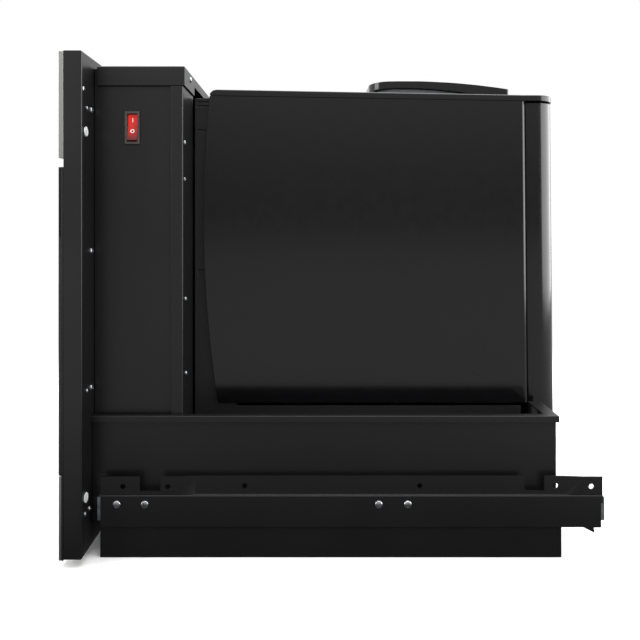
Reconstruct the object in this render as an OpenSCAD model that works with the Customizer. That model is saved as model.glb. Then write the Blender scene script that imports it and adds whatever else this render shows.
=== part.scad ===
// Built-in bean-to-cup coffee machine that pulls out of its cabinet on telescopic slides.
// Frame: X across the front, Y from the front plate to the back, Z up; the origin is the middle of the footprint.
// Inside each module Y is counted from the front plate: behind_front() moves the work to the origin.

/* [Front] */
// Width of the front plates
front_w = 595; // [594:1:596]
// Height of the bottom edge of the front frame above the base pan
front_bottom = 8; // [6:1:10]
// Height of the top edge of the front
front_top = 463; // [460:1:466]
// Thickness of the fascia and of the door
plate_t = 4.3; // [4:0.1:5]
// Back face of the front frame, behind the front plates
frame_back = 21; // [19:1:23]
// Lower edge of the finger gap, which is the top of the door
door_top = 358.8; // [355:0.1:360]
// Lower edge of the control fascia
fascia_bottom = 366.8; // [366:0.1:370]
// Top of the stainless strip along the foot of the door
strip_top = 83; // [80:1:84]

/* [Cup niche] */
// Half the width of the niche where the cups stand
niche_half_w = 113; // [105:1:115]
// Floor of the niche
niche_bottom = 86; // [85:1:90]
// Ceiling of the niche
niche_top = 345; // [335:1:348]
// Depth of the niche behind the front plates
niche_depth = 120; // [118:1:121]

/* [Chassis] */
// Overall depth, from the front plates to the ends of the slides
overall_d = 496; // [494:1:500]
// Half the width of the column behind the front frame
column_half_w = 267.4; // [266:0.1:267.6]
// Back face of the column
column_back = 105.3; // [104:0.1:106]
// Top of the column
column_top = 456.5; // [455:0.5:458]
// Outer half width of the tray walls
tray_half_w = 270.5; // [270:0.1:270.6]
// Outside of the tray back wall
tray_back = 455; // [454:1:456]
// Top of the tray rim
tray_top = 129.1; // [127:0.1:130]
// Height of the base pan under the tray
pan_h = 28.3; // [26:0.1:28.4]
// Sheet thickness of the chassis
sheet = 1.5; // [1.2:0.1:1.6]

/* [Machine] */
// Outer half width of the side panels
machine_half_w = 220.1; // [219:0.1:221]
// Back edge of the side panels at the bottom
panel_back = 447; // [440:1:448]
// Bottom edge of the side panels
panel_bottom = 126; // [125:1:127]
// Back face of the rear housing at its foot
housing_back = 480; // [478:1:482]
// Radius of the rear housing corners
housing_r = 22; // [18:1:26]

/* [Slides and brackets] */
// Outer face of the cabinet brackets
bracket_face = 281; // [280.9:0.1:281.4]
// Middle height of the slides
slide_z = 45.6; // [45:0.1:46]
// Set-back of the bracket tabs from the channel's face
tab_set_back = 1; // [0.8:0.1:1.2]

/* [Controls] */
// Radius of the push buttons
button_r = 8; // [6:0.5:8.5]
// Travel of the push buttons
button_travel = 1.5; // [1:0.1:2]
// Centre height of the buttons and the display
button_z = 414; // [410:1:418]

/* [Hidden] */
$fn = 64;

eps = 0.01;
gap = 0.3;
half_w = front_w / 2;
steel = "silver";
black = "#202020";
grey = "#606060";

// door hinge: a vertical axis near the left edge of the door
hinge_x = -half_w + 5.5;
hinge_y = plate_t / 2;
hinge_pin_r = 1.2;
stile_x = -half_w + 12.5;

// side panel front edge: the circle through three points of the (Y, Z) plane
arc_top = [122.8, 437.7];
arc_mid = [116.8, 310];
arc_foot = [131.4, panel_bottom];
panel_top_back = [444.2, 432.4];
panel_t = 2.8;
panel_r = 5;
// the back edge of the side panels and the rear housing lean forward together
lean = atan((panel_back - panel_top_back.x) / (panel_top_back.y - panel_bottom));
housing_foot = 110;
housing_top = 432;
housing_half_w = machine_half_w - 4.1;
cover_half_w = machine_half_w + 0.9;
cover_back = 476.2;
// inner edge of the column's back flange, just inside the neck's flank
flange_x = machine_half_w - 3.6;

// bean lid: its crown is a cylinder about an X axis, and so is its underside, which is bowed more
lid_x = [22, 202];
lid_y = [288, 433];
lid_r = 19;
lid_rear_r = 3;
crown_r = 678;
crown_y = 325;
crown_z = 456.6;
lid_axis = [431.4, 445.4];
lid_pin_r = 1.2;
ear_x = [54, 164];
under_front = [311.9, 449.7];
under_mid = [360.7, 448.1];
under_rear = [402.4, 442];
collar_in = 6;
collar_t = 5;
collar_r = 17.5;
cover_front = [130, 444.2];
cover_rear = [441.5, 438.5];

// hopper and grinder share one upright axis
grind_c = [112, 360];
hopper_floor = 405;
hopper_foot = 372;
knob_c = [60, 322];
shaft_r = 5;

// water tank and brew unit
tank_x = [-205, -95];
tank_y = [300, 430];
tank_z = [150, 437];
tank_wall = 2.5;
base_z = [36, 40];
brew_c = [0, 240];
brew_top = 330;
screw_r = 4;
spout_z = [262, 318];
nozzle_c = [78, 70];
// radial clearance of every pin and shaft in its hole
pin_clear = 0.06;

// cabinet brackets
bracket_holes = [52.4, 93.8, 164.4, 326, 451.6, 483.9];
bracket_hole_z = 66;
bracket_hole_r = 2.5;
bracket_screw_y = [47, 72.8, 287.9, 314.6];
bracket_screw_z = 50;
flange_top = 75;
flange_notches = [[68, 87], [422.6, 441]];
notch_floor = 61.6;
channel = [28.8, 58.1];

// main switch, on the right side of the column
switch_c = [57.1, 398.5];
switch_x = column_half_w - 4 + sheet;
rocker_tilt = -9;
switch_pin_r = 1.2;
button_x = [-230, -150, -110, 110, 150];
control_y = 12;

function circumcentre(a, b, c) =
    let (d = 2 * (a.x * (b.y - c.y) + b.x * (c.y - a.y) + c.x * (a.y - b.y)))
    let (aa = a * a, bb = b * b, cc = c * c)
    [(aa * (b.y - c.y) + bb * (c.y - a.y) + cc * (a.y - b.y)) / d,
     (aa * (c.x - b.x) + bb * (a.x - c.x) + cc * (b.x - a.x)) / d];

arc_c = circumcentre(arc_top, arc_mid, arc_foot);
arc_r = norm(arc_top - arc_c);
under_c = circumcentre(under_front, under_mid, under_rear);
under_r = norm(under_mid - under_c);

// ---- helpers ----

module behind_front() {
    translate([0, -overall_d / 2, 0])
        children();
}

// a box between two corners
module block(low, high) {
    translate(low)
        cube(high - low);
}

// the same block on both sides of the middle plane
module both_sides() {
    children();
    mirror([1, 0, 0])
        children();
}

// an outline of the (Y, Z) plane, extruded along X
module across(x0, x1) {
    translate([x0, 0, 0])
        rotate([90, 0, 90])
            linear_extrude(x1 - x0)
                children();
}

// a rod along X, Y or Z from its start point
module rod_x(p, r, len) {
    translate(p)
        rotate([0, 90, 0])
            cylinder(r = r, h = len);
}

module rod_y(p, r, len) {
    translate(p)
        rotate([-90, 0, 0])
            cylinder(r = r, h = len);
}

module rod_z(p, r, len) {
    translate(p)
        cylinder(r = r, h = len);
}

// a rectangle of the (X, Y) plane with four round corners, made of exact arcs
module round_rect(low, high, r) {
    translate([low.x + r, low.y])
        square([high.x - low.x - 2 * r, high.y - low.y]);
    translate([low.x, low.y + r])
        square([high.x - low.x, high.y - low.y - 2 * r]);
    for (x = [low.x + r, high.x - r], y = [low.y + r, high.y - r])
        translate([x, y])
            circle(r);
}

// a pan-head screw whose axis is +X, with its cross recess
module pan_screw(p, head_r, head_h, shank_r, shank_len) {
    translate(p)
        rotate([0, 90, 0])
            difference() {
                union() {
                    cylinder(r1 = head_r, r2 = head_r * 0.72, h = head_h);
                    translate([0, 0, -shank_len])
                        cylinder(r = shank_r, h = shank_len + eps);
                }
                for (turn = [0, 90])
                    rotate([0, 0, turn])
                        translate([-head_r * 0.55, -head_r * 0.11, head_h * 0.45])
                            cube([head_r * 1.1, head_r * 0.22, head_h]);
            }
}

// a hose through a list of points
module hose(points, r) {
    for (i = [0 : len(points) - 2])
        hull() {
            translate(points[i])
                sphere(r, $fn = 16);
            translate(points[i + 1])
                sphere(r, $fn = 16);
        }
}

// ---- cabinet brackets and slides ----

module bracket() {
    x1 = bracket_face;
    x0 = bracket_face - sheet;
    tab = x1 - tab_set_back;
    // the flange is joggled in between its tabs
    middle = tab - 1.6;
    difference() {
        union() {
            block([x0, 32, channel[0]], [x1, 492.3, channel[1]]);
            block([x0 - 3.5, 32, channel[0]], [x1, 492.3, channel[0] + sheet]);
            block([middle - sheet, 32, channel[1] - sheet], [x1, 492.3, channel[1]]);
            block([x0, 490, 51], [x1, 494, channel[1]]);
            translate([0, 0, channel[1] - sheet])
                linear_extrude(flange_top - channel[1] + sheet)
                    polygon([[tab, 32], [tab, 104], [middle, 119], [middle, 460], [tab, 476], [tab, 494],
                             [tab - sheet, 494], [tab - sheet, 476], [middle - sheet, 460],
                             [middle - sheet, 119], [tab - sheet, 104], [tab - sheet, 32]]);
            across(x0, x1)
                polygon([[476.5, channel[0] + eps], [476.5, channel[0] - eps], [484.8, 24.6],
                         [486.3, 23.8], [485.6, channel[0] + eps]]);
        }
        for (y = flange_notches)
            block([middle - 5, y[0], notch_floor], [x1 + 1, y[1], flange_top + 1]);
        for (y = bracket_holes)
            rod_x([middle - 5, y, bracket_hole_z], bracket_hole_r, 10);
        for (y = bracket_screw_y)
            rod_x([middle - 5, y, bracket_screw_z], 2.2, 10);
    }
}

// one telescopic member: a channel open towards the machine
module slide_member(x_back, x_lip, half_h, t, y0, y1) {
    block([x_back - t, y0, slide_z - half_h], [x_back, y1, slide_z + half_h]);
    block([x_lip, y0, slide_z + half_h - t], [x_back, y1, slide_z + half_h]);
    block([x_lip, y0, slide_z - half_h], [x_back, y1, slide_z - half_h + t]);
}

module slide_outer() {
    difference() {
        slide_member(bracket_face - sheet - 0.1, 273.2, 10.8, 1.4, 28.7, overall_d);
        for (y = bracket_screw_y)
            rod_x([276, y, bracket_screw_z], 2.2, 5);
    }
}

module slide_middle() {
    slide_member(276, 272.2, 8.6, 1.3, 30, overall_d - 2);
}

module slide_inner() {
    mirror([1, 0, 0])
        slide_member(-tray_half_w - 0.1, -273.2, 6.4, 1.3, 31, overall_d - 4);
}

module bracket_right() {
    color(black)
        behind_front()
            bracket();
}

module bracket_left() {
    color(black)
        behind_front()
            mirror([1, 0, 0])
                bracket();
}

module slide_outer_right() {
    color(steel)
        behind_front()
            slide_outer();
}

module slide_outer_left() {
    color(steel)
        behind_front()
            mirror([1, 0, 0])
                slide_outer();
}

module slide_middle_right() {
    color(steel)
        behind_front()
            slide_middle();
}

module slide_middle_left() {
    color(steel)
        behind_front()
            mirror([1, 0, 0])
                slide_middle();
}

module slide_inner_right() {
    color(steel)
        behind_front()
            slide_inner();
}

module slide_inner_left() {
    color(steel)
        behind_front()
            mirror([1, 0, 0])
                slide_inner();
}

module bracket_screws() {
    color("gainsboro")
        behind_front()
            both_sides()
                for (y = bracket_screw_y)
                    pan_screw([bracket_face, y, bracket_screw_z], 3.65, 1.8, 2, 2.6);
}

// ---- chassis ----

module base_pan() {
    color(black)
        behind_front()
            difference() {
                block([-278.5, 31, 0], [278.5, 457, pan_h]);
                block([-278.5 + sheet, 31 + sheet, sheet], [278.5 - sheet, 457 - sheet, pan_h - sheet]);
                block([-262, 47, pan_h - 2 * sheet], [262, 441, pan_h + 1]);
            }
}

module tray() {
    floor_z = pan_h + 0.2;
    in_w = tray_half_w - sheet;
    color(black)
        behind_front()
            difference() {
                union() {
                    block([-tray_half_w, frame_back + 0.2, floor_z], [tray_half_w, tray_back, tray_top]);
                    both_sides()
                        block([in_w, frame_back + 0.2, tray_top - 6], [274.1, 456.8, tray_top]);
                    block([-274.1, tray_back - sheet, tray_top - 6], [274.1, 456.8, tray_top]);
                }
                block([-in_w, frame_back + 0.2 + sheet, floor_z + sheet],
                      [in_w, tray_back - sheet, tray_top - sheet]);
                // the mouth, inside the rim's inward fold
                block([-column_half_w - gap, frame_back + 0.2 + sheet, tray_top - 2 * sheet],
                      [column_half_w + gap, column_back + 1.6, tray_top + 1]);
                block([-266.5, column_back, tray_top - 2 * sheet], [266.5, 444, tray_top + 1]);
                // the machine overhangs the back wall here
                block([-226, 440, 106], [226, 460, tray_top + 1]);
                block([-column_half_w - gap, frame_back, floor_z + 3.4],
                      [column_half_w + gap, frame_back + 2, tray_top + 1]);
            }
}

module front_frame() {
    face = plate_t + gap;
    recess_x = -half_w + 14;
    color(black)
        behind_front()
            union() {
                difference() {
                    union() {
                        block([recess_x, face, front_bottom], [half_w, frame_back, front_top]);
                        block([-half_w, 9, front_bottom], [recess_x + eps, frame_back, front_top]);
                        block([-half_w, face, door_top + gap], [recess_x + eps, 9 + eps, front_top]);
                    }
                    block([recess_x + sheet, face + sheet, front_bottom + sheet],
                          [half_w - sheet, frame_back - sheet, front_top - sheet]);
                    block([-half_w + sheet, 9 + sheet, front_bottom + sheet],
                          [recess_x + 2, frame_back - sheet, front_top - sheet]);
                    // open back, inside a folded flange
                    block([-262, frame_back - 2 * sheet, 40], [262, frame_back + 1, 440]);
                    // niche window and control window
                    block([-niche_half_w - gap, 0, niche_bottom - gap],
                          [niche_half_w + gap, face + 2, niche_top + gap]);
                    block([-252, 0, 386], [252, face + 2, 444]);
                }
                // lugs that carry the door pins, above and below the door
                block([-half_w, 0.5, door_top + 0.8], [-half_w + 11, face + 1, door_top + 3.8]);
                block([-half_w, 9, 3.4], [-half_w + 11, 14, front_bottom + eps]);
                block([-half_w, 0.5, 3.4], [-half_w + 11, 14, 6.4]);
                rod_z([hinge_x, hinge_y, door_top - 4.5], hinge_pin_r, 6);
                rod_z([hinge_x, hinge_y, 6], hinge_pin_r, 5);
            }
}

module column_shell() {
    x_skin = column_half_w - 4;
    color(black)
        behind_front()
            difference() {
                union() {
                    both_sides() {
                        // side skin, front return, back post and back flange
                        block([x_skin, frame_back + gap, 32], [x_skin + sheet, column_back, column_top - 2]);
                        block([238, frame_back + gap, 32], [x_skin + eps, frame_back + gap + sheet, column_top - 2]);
                        block([x_skin, 94, 32], [column_half_w, column_back, 437.5]);
                        block([flange_x, column_back - sheet, 32], [x_skin + eps, column_back, 437.5]);
                    }
                    block([-x_skin, frame_back + gap, 32], [x_skin, column_back, 32 + sheet]);
                }
                // hole for the main switch
                block([x_skin - 1, switch_c.x - 6.1, switch_c.y - 14.3],
                      [x_skin + 3, switch_c.x + 6.1, switch_c.y + 14.3]);
            }
}

module column_cap() {
    front = 24.4;
    drop = 438;
    inner = column_half_w - sheet;
    color(black)
        behind_front()
            union() {
                block([-column_half_w, front, column_top - sheet], [column_half_w, column_back + 0.2, column_top]);
                both_sides() {
                    block([inner, front, drop], [column_half_w, column_back + 0.2, column_top - eps]);
                    block([flange_x, column_back + 0.2 - eps, drop], [column_half_w, column_back + 1.6, column_top]);
                }
                block([-column_half_w, column_back + 0.2 - eps, 447], [column_half_w, column_back + 1.6, column_top]);
            }
}

module front_bumpers() {
    color("whitesmoke")
        behind_front()
            both_sides()
                for (z = [391.6, 60])
                    rod_y([289, frame_back, z], 4.5, 1.5);
}

// a small screw whose head stands on a face that looks back
module back_screw(p, head_r) {
    translate(p)
        rotate([0, 0, 90])
            pan_screw([0, 0, 0], head_r, head_r * 0.55, head_r * 0.45, 1.2);
}

module frame_screws() {
    color("gainsboro")
        behind_front()
            both_sides() {
                for (z = [413.6, 282.6, 155.5])
                    back_screw([273, frame_back, z], 3);
                for (z = [413.6, 155.5])
                    back_screw([284, frame_back, z], 2);
                back_screw([293.5, frame_back, 429], 2.4);
                back_screw([289, frame_back, 45], 2.4);
                back_screw([278, frame_back, 45], 2.4);
            }
}

module column_screws() {
    color("gainsboro")
        behind_front()
            both_sides() {
                back_screw([238, column_back + 1.6, 449.7], 2.6);
                for (z = [385, 350])
                    back_screw([259, column_back, z], 2.4);
                back_screw([254.5, column_back, 235.6], 2.4);
                back_screw([253, column_back, 164], 2.4);
            }
}

// ---- main switch ----

module switch_bezel() {
    color(grey)
        behind_front()
            translate([switch_x, switch_c.x, switch_c.y])
                difference() {
                    union() {
                        block([0.05, -6.8, -15.35], [1.9, 6.8, 15.35]);
                        block([-14, -5.95, -14.1], [0.06, 5.95, 14.1]);
                    }
                    block([-12, -4.95, -13.35], [3, 4.95, 13.35]);
                    rod_y([-2, -8, 0], switch_pin_r + pin_clear, 16);
                }
}

module power_rocker() {
    profile = [[-12.4, -3.4], [-12.4, 2.7], [0, 1.2], [12.4, 2.7], [12.4, -3.4], [3, -6], [-3, -6]];
    color("red")
        behind_front()
            translate([switch_x - 2, switch_c.x, switch_c.y])
                rotate([0, rocker_tilt, 0]) {
                    translate([0, 4.6, 0])
                        rotate([90, -90, 0])
                            linear_extrude(9.2)
                                polygon([for (p = profile) [p.x, -p.y]]);
                    rod_y([0, -5.6, 0], switch_pin_r, 11.2);
                }
}

// ---- control fascia ----

module control_fascia() {
    skin = 1.2;
    color(steel)
        behind_front()
            difference() {
                block([-half_w, 0, fascia_bottom], [half_w, plate_t, front_top - 0.5]);
                block([-half_w + skin, skin, fascia_bottom + skin], [half_w - skin, plate_t + 1, front_top - 0.5 - skin]);
                block([-70.3, -1, button_z - 18.3], [70.3, plate_t, button_z + 18.3]);
                for (x = button_x)
                    rod_y([x, -1, button_z], button_r + gap, 4);
            }
}

module display_glass() {
    color("#101014")
        behind_front()
            block([-70, 0.1, button_z - 18], [70, 2.6, button_z + 18]);
}

module push_button(i) {
    color(grey)
        behind_front()
            translate([button_x[i], 0, button_z])
                difference() {
                    union() {
                        rod_y([0, 0.2, 0], button_r, 3.4);
                        rod_y([0, 3.5, 0], 3, control_y - 2 - button_travel - 3.6);
                    }
                    translate([0, 0.2 - 38.6, 0])
                        sphere(39);
                }
}

module power_button() {
    push_button(0);
}

module drink_button_1() {
    push_button(1);
}

module drink_button_2() {
    push_button(2);
}

module drink_button_3() {
    push_button(3);
}

module drink_button_4() {
    push_button(4);
}

module control_board() {
    color("green")
        behind_front() {
            block([-248, control_y, 390], [248, control_y + 1.6, 440]);
            for (x = button_x)
                block([x - 4, control_y - 1.9, button_z - 4], [x + 4, control_y + eps, button_z + 4]);
            block([-60, control_y - 3.4, button_z - 14], [60, control_y + eps, button_z + 14]);
        }
}

// ---- service door ----

module door_frame() {
    inner = niche_half_w - 3;
    color(black)
        behind_front()
            difference() {
                union() {
                    block([-half_w, 2.8, front_bottom - 1], [half_w, plate_t, door_top]);
                    block([-half_w, 0, front_bottom - 1], [stile_x, plate_t, door_top]);
                }
                block([-inner, -1, strip_top + 4], [inner, 6, niche_top - 3]);
                rod_z([hinge_x, hinge_y, door_top - 5.5], hinge_pin_r + pin_clear, 8);
                rod_z([hinge_x, hinge_y, front_bottom - 2], hinge_pin_r + pin_clear, 7);
            }
}

module door_glass() {
    inner = niche_half_w - 4;
    color("#0c0c10")
        behind_front()
            difference() {
                block([stile_x + 0.1, 0, strip_top + 0.1], [half_w, 2.75, door_top]);
                block([-inner, -1, strip_top + 4.5], [inner, 6, niche_top - 4]);
            }
}

module door_strip() {
    color(steel)
        behind_front()
            block([stile_x + 0.1, 0, front_bottom - 1], [half_w, 2.75, strip_top]);
}

// ---- niche, spout, nozzle, drip tray ----

module niche_liner() {
    t = 2.5;
    front = 6.5;
    color(black)
        behind_front()
            difference() {
                block([-niche_half_w, front, niche_bottom], [niche_half_w, niche_depth, niche_top]);
                block([-niche_half_w + t, front - 1, niche_bottom + t],
                      [niche_half_w - t, niche_depth - t, niche_top - t]);
                // way for the grounds container, with the tray under it
                block([-104, niche_depth - 2 * t, niche_bottom + t - eps], [104, niche_depth + 1, 118]);
                block([-64, niche_depth - 2 * t, 117], [64, niche_depth + 1, 204]);
                // slot that guides the spout
                block([-8, niche_depth - 2 * t, 208], [8, niche_depth + 1, 330]);
                // seat of the nozzle
                rod_z([nozzle_c.x, nozzle_c.y, niche_top - 2 * t], 4 + pin_clear, 8);
            }
}

module coffee_spout() {
    back = niche_depth - 2.5 - gap;
    color(grey)
        behind_front()
            difference() {
                union() {
                    block([-32, 62, spout_z[0] + 12], [32, back, spout_z[1]]);
                    for (x = [-14, 14])
                        rod_z([x, 74, spout_z[0]], 8, 13);
                    block([-7.6, back - eps, spout_z[0] + 10], [7.6, niche_depth + gap, spout_z[1] - 4]);
                    block([-13, niche_depth + gap, spout_z[0] + 10], [13, niche_depth + 2.5, spout_z[1] - 4]);
                }
                for (x = [-14, 14])
                    rod_z([x, 74, spout_z[0] - 1], 3.2, 16);
                block([-28, 66, spout_z[0] + 15], [28, back - 3, spout_z[1] + 1]);
            }
}

module water_nozzle() {
    color(steel)
        behind_front()
            translate([nozzle_c.x, nozzle_c.y, 0]) {
                rod_z([0, 0, 322], 8, niche_top - 2.5 - gap - 322);
                rod_z([0, 0, 340], 4, 10);
                translate([0, 0, 326])
                    rotate([-14, 0, 0])
                        difference() {
                            translate([0, 0, -98])
                                cylinder(r = 4, h = 96);
                            translate([0, 0, -99])
                                cylinder(r = 2, h = 20);
                        }
            }
}

module drip_tray() {
    t = 2.5;
    front = 7;
    // the grounds container stands on a deck behind the basin
    deck = 115.5;
    color(black)
        behind_front()
            difference() {
                union() {
                    block([-102, front, 89], [102, 190, 108]);
                    block([-108, front, 89], [108, 14, 120]);
                }
                block([-102 + t, 15, 89 + t], [102 - t, deck, 121]);
                block([-102 + t, deck + t, 88], [102 - t, 190 - t, 108 - t]);
            }
}

module drip_grid() {
    color(steel)
        behind_front()
            difference() {
                block([-101, 14.5, 108.2], [101, 116, 110.7]);
                for (i = [-9 : 9])
                    block([i * 10 - 2.6, 20, 107], [i * 10 + 2.6, 110, 112]);
            }
}

module grounds_container() {
    t = 2;
    color(grey)
        behind_front()
            difference() {
                block([-61, 118, 108.3], [61, 186, 200]);
                block([-61 + t, 118 + t, 108.3 + t], [61 - t, 186 - t, 201]);
            }
}

// ---- machine casing ----

module machine_neck() {
    t = 2.5;
    front = column_back + 1.9;
    back = 150;
    outer = machine_half_w - 3.1;
    color(black)
        behind_front()
            difference() {
                union() {
                    both_sides() {
                        block([outer - t, front, base_z[0]], [outer, back, 436]);
                        // skirt behind the tray wall
                        block([outer - t, front, base_z[0]], [outer, 440, 122]);
                    }
                    block([-outer, front, 436 - t], [outer, back, 436]);
                }
                // the vent slot and the ribs under the lip
                both_sides() {
                    block([outer - 0.8, front + 3, 253], [outer + 1, back, 261]);
                    for (z = [402, 427, 431])
                        block([outer - 0.8, front + 2, z], [outer + 1, back, z + 1.6]);
                }
            }
}

module machine_base() {
    color(black)
        behind_front()
            union() {
                block([-214.3, 111, base_z[0]], [214.3, 440, base_z[1]]);
                for (x = [-180, 180], y = [140, 410])
                    rod_z([x, y, pan_h + 0.2 + sheet], 14, 8);
                // ribs that carry the drip tray and the water tank
                block([-20, 124, base_z[0]], [20, 190, 88.7]);
                block([-165, tank_y[0], base_z[0]], [-135, tank_y[1], tank_z[0] - 0.2]);
            }
}

module side_panel_shape() {
    intersection() {
        polygon([[100, panel_bottom], [panel_back, panel_bottom], panel_top_back, arc_top, [100, arc_top.y]]);
        translate(arc_c)
            circle(arc_r, $fn = 720);
    }
}

// stands on the back edge of the side panels and leans with it; Y is counted from that edge
module leaning() {
    translate([0, panel_back, panel_bottom])
        rotate([lean, 0, 0])
            children();
}

// a sheet that turns inwards round a rounded corner at its back edge
module side_panel() {
    deep = 400;
    intersection() {
        across(machine_half_w - 10, machine_half_w)
            side_panel_shape();
        leaning()
            translate([0, 0, -20])
                linear_extrude(deep)
                    difference() {
                        round_rect([-machine_half_w, -deep], [machine_half_w, 0], panel_r);
                        round_rect([-machine_half_w + panel_t, -deep - 20],
                                   [machine_half_w - panel_t, -panel_t], panel_r - panel_t);
                    }
    }
}

module side_panel_right() {
    color(black)
        behind_front()
            side_panel();
}

module side_panel_left() {
    color(black)
        behind_front()
            mirror([1, 0, 0])
                side_panel();
}

module rear_housing() {
    t = 3;
    front = 0.4;
    back = housing_back - panel_back;
    foot = housing_foot - panel_bottom;
    high = housing_top - housing_foot;
    color(black)
        behind_front()
            leaning()
                difference() {
                    translate([0, 0, foot])
                        linear_extrude(high)
                            intersection() {
                                round_rect([-housing_half_w, -60], [housing_half_w, back], housing_r);
                                translate([-housing_half_w, front])
                                    square([2 * housing_half_w, 100]);
                            }
                    translate([0, 0, foot + t])
                        linear_extrude(high - 2 * t)
                            round_rect([-housing_half_w + t, -80], [housing_half_w - t, back - t], housing_r - t);
                    // seat of the mains inlet
                    block([-74, back - 10, 10], [-46, back + 1, 34]);
                }
}

module top_cover() {
    lift = 0.25;
    cut = collar_in - 0.2;
    color(black)
        behind_front() {
            difference() {
                intersection() {
                    across(-cover_half_w, cover_half_w)
                        polygon([[123, arc_top.y + lift], [cover_rear.x, panel_top_back.y + lift],
                                 [cover_back, panel_top_back.y + lift], [cover_back, cover_rear.y],
                                 cover_rear, cover_front, [126.5, 443.6], [123, 440.5]]);
                    translate([0, 0, 420])
                        linear_extrude(40)
                            round_rect([-cover_half_w, 0], [cover_half_w, cover_back], housing_r);
                }
                translate([0, 0, 420])
                    linear_extrude(40)
                        intersection() {
                            round_rect([lid_x[0] + cut, lid_y[0] + cut],
                                       [lid_x[1] - cut, lid_y[1] + 40], collar_r + 0.2);
                            round_rect([lid_x[0] + cut, lid_y[0] - 40],
                                       [lid_x[1] - cut, lid_y[1] - cut], lid_rear_r + 0.2);
                        }
                block([tank_x[0] - 1, tank_y[0] - 1, 400], [tank_x[1] + 1, tank_y[1] + 1, 460]);
            }
            // ears for the lid's pins
            difference() {
                for (x = ear_x) {
                    block([x, 428.7, 436], [x + 6, 434.1, lid_axis.y]);
                    rod_x([x, lid_axis.x, lid_axis.y], 2.7, 6);
                }
                rod_x([0, lid_axis.x, lid_axis.y], lid_pin_r + pin_clear, 220);
            }
        }
}

// ---- bean lid, hopper and grinder ----

// the space under the lid's crown
module under_crown() {
    translate([-50, crown_y, crown_z - crown_r])
        rotate([0, 90, 0])
            cylinder(r = crown_r, h = 400, $fn = 1440);
}

// the space under the lid, less a depth: below its underside, and below the cover's slope
module under_lid(depth) {
    translate([-50, under_c.x, under_c.y])
        rotate([0, 90, 0])
            cylinder(r = under_r - depth, h = 400, $fn = 1440);
    translate([0, 0, 0.4 - depth])
        across(-50, 350)
            polygon([[200, 400], [500, 400], [500, cover_rear.y], cover_rear, cover_front, [100, cover_front.y]]);
}

module bean_lid() {
    color("#303030")
        behind_front() {
            difference() {
                intersection() {
                    translate([0, 0, 430])
                        linear_extrude(40)
                            intersection() {
                                round_rect([lid_x[0], lid_y[0]], [lid_x[1], lid_y[1] + 40], lid_r);
                                round_rect([lid_x[0], lid_y[0] - 40], [lid_x[1], lid_y[1]], lid_rear_r);
                            }
                    under_crown();
                }
                under_lid(0);
                for (x = ear_x)
                    block([x - 0.4, 428, 430], [x + 6.4, 440, 460]);
            }
            for (x = ear_x)
                rod_x([x - 2, lid_axis.x, lid_axis.y], lid_pin_r, 10);
        }
}

module lid_collar() {
    low = [lid_x[0] + collar_in, lid_y[0] + collar_in];
    high = [lid_x[1] - collar_in, lid_y[1] - collar_in];
    t = [collar_t, collar_t];
    color("dimgray")
        behind_front()
            intersection() {
                translate([0, 0, 432])
                    linear_extrude(30)
                        difference() {
                            intersection() {
                                round_rect(low, [high.x, high.y + 40], collar_r);
                                round_rect([low.x, low.y - 40], high, lid_rear_r);
                            }
                            round_rect(low + t, high - t, collar_r - collar_t);
                        }
                under_lid(0.4);
            }
}

module bean_hopper() {
    low = [34, 300];
    high = [190, 421];
    t = 2.5;
    color("dimgray", 0.8)
        behind_front()
            difference() {
                union() {
                    block([low.x, low.y, hopper_foot], [high.x, high.y, 431.5]);
                    rod_z([grind_c.x, grind_c.y, 350], 20, hopper_foot - 350 + eps);
                }
                block([low.x + t, low.y + t, hopper_floor], [high.x - t, high.y - t, 440]);
                translate([grind_c.x, grind_c.y, hopper_foot + 4])
                    cylinder(r1 = 14, r2 = 57, h = hopper_floor - hopper_foot - 4 + eps);
                rod_z([grind_c.x, grind_c.y, 349], 14, 40);
                rod_z([knob_c.x, knob_c.y, hopper_foot - 1], 3 + pin_clear, 50);
            }
}

module grind_knob() {
    color(grey)
        behind_front()
            translate([knob_c.x, knob_c.y, 0]) {
                rod_z([0, 0, hopper_floor + gap], 12, 9);
                block([-11, -2, hopper_floor + 8], [11, 2, hopper_floor + 17]);
                rod_z([0, 0, hopper_foot + 4], 3, 32);
            }
}

module grinder_body() {
    color("gray")
        behind_front()
            difference() {
                union() {
                    rod_z([grind_c.x, grind_c.y, 286], 45, 63.8);
                    block([20, 334, 333], [grind_c.x, 352, 349]);
                    block([20, 282, 333], [38, 352, 349]);
                }
                rod_z([grind_c.x, grind_c.y, 294], 29, 48);
                rod_z([grind_c.x, grind_c.y, 340], 14, 12);
                rod_z([grind_c.x, grind_c.y, 280], shaft_r + pin_clear, 20);
                // coffee duct
                block([23, 337, 336], [grind_c.x - 30, 349, 346]);
                block([23, 285, 336], [35, 349, 346]);
                block([23, 285, 330], [35, 297, 340]);
            }
}

module grinder_rotor() {
    color("silver")
        behind_front()
            translate([grind_c.x, grind_c.y, 0]) {
                rod_z([0, 0, 228], shaft_r, 72);
                difference() {
                    translate([0, 0, 298])
                        cylinder(r1 = 26.5, r2 = 16, h = 24);
                    for (a = [0 : 30 : 330])
                        rotate([0, 0, a])
                            block([14, -1.2, 306], [30, 1.2, 330]);
                }
            }
}

module grinder_motor() {
    color("#505050")
        behind_front()
            difference() {
                rod_z([grind_c.x, grind_c.y, 214], 36, 71.7);
                rod_z([grind_c.x, grind_c.y, 224], shaft_r + pin_clear, 70);
            }
}

// ---- brew unit ----

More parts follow.
